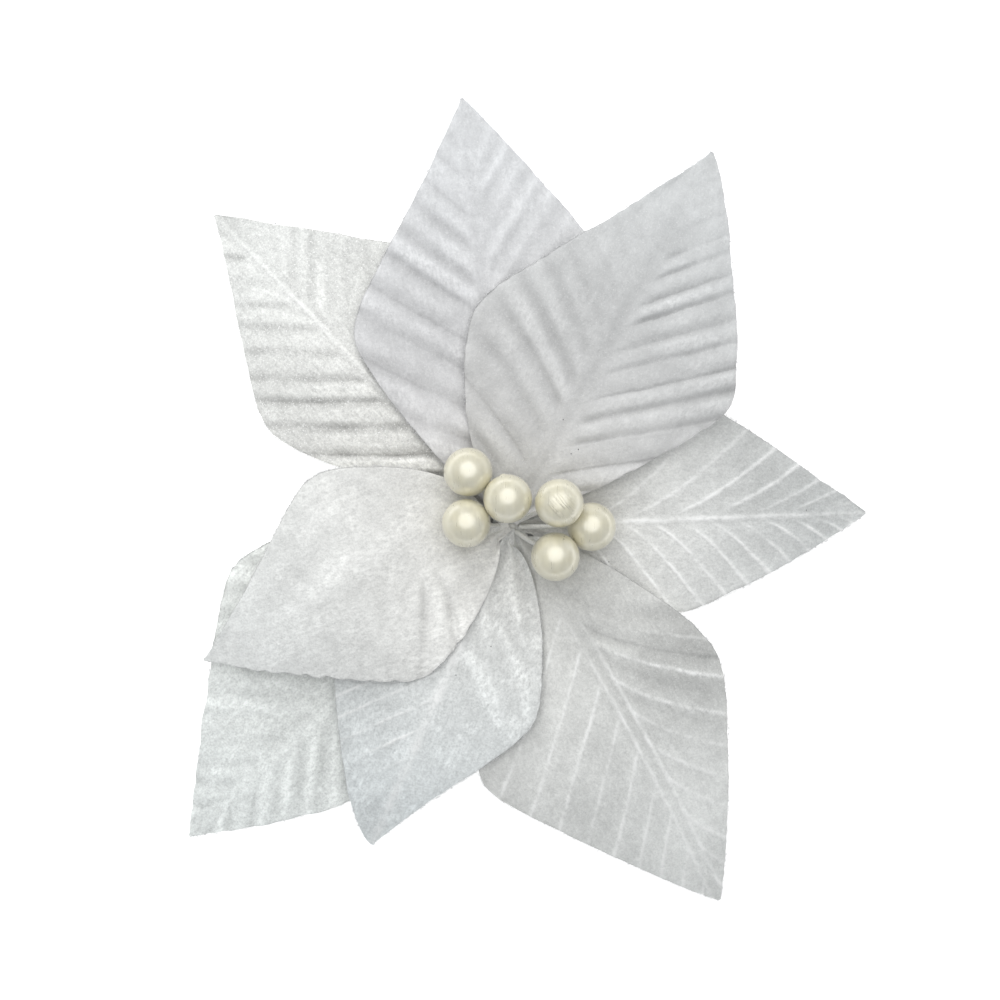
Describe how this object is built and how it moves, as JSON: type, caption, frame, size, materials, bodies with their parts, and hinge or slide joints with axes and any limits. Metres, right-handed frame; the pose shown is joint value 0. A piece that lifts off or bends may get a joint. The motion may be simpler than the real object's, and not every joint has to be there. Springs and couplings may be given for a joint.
{
  "type": "flower hair clip",
  "caption": "White velvet poinsettia-style hair flower with ivory pearl centre on a felt-backed alligator clip; the sprung toothed lower jaw opens on a hinge pin.",
  "frame": {"origin": "middle of the whole outline in plan, on the surface that the leaf tips rest on", "axes": "+Z out of the flower's face, +Y along the clip towards the top leaf, +X towards the right leaf"},
  "size_m": [0.114, 0.1344, 0.0269],
  "materials": {
    "velvet": "white velvet with a frosted nap",
    "pearl": "ivory pearl coating",
    "stem_wire": "white thread-wrapped wire",
    "glue": "milky hot glue",
    "felt": "white wool-blend felt",
    "plated_steel": "nickel-plated spring steel",
    "spring_steel": "drawn steel wire"
  },
  "bodies": {
    "flower": {"leaf_upper_left": "velvet", "leaf_right": "velvet", "leaf_bottom_left": "velvet", "leaf_top": "velvet", "leaf_lower_right": "velvet", "leaf_upper_right": "velvet", "leaf_bottom": "velvet", "leaf_left": "velvet", "pearl_1": "pearl", "pearl_2": "pearl", "pearl_3": "pearl", "pearl_4": "pearl", "pearl_5": "pearl", "pearl_6": "pearl", "stem_1": "stem_wire", "stem_2": "stem_wire", "stem_3": "stem_wire", "stem_4": "stem_wire", "stem_5": "stem_wire", "stem_6": "stem_wire", "hub_glue": "glue", "felt_backing": "felt", "arm_glue": "glue", "clip_upper_arm": "plated_steel", "hinge_pin": "plated_steel", "spring": "spring_steel"},
    "lower_jaw": {"clip_lower_arm": "plated_steel"}
  },
  "joints": [
    {"name": "jaw_hinge", "type": "hinge", "parent": "flower", "child": "lower_jaw", "pos_m": [-0.0026, -0.018, 0.006], "axis": [-1, 0, 0], "range_deg": [0, 28], "stiffness_Nm_per_rad": 0.06, "springref_deg": -22.92, "deforming": ["spring"]}
  ]
}
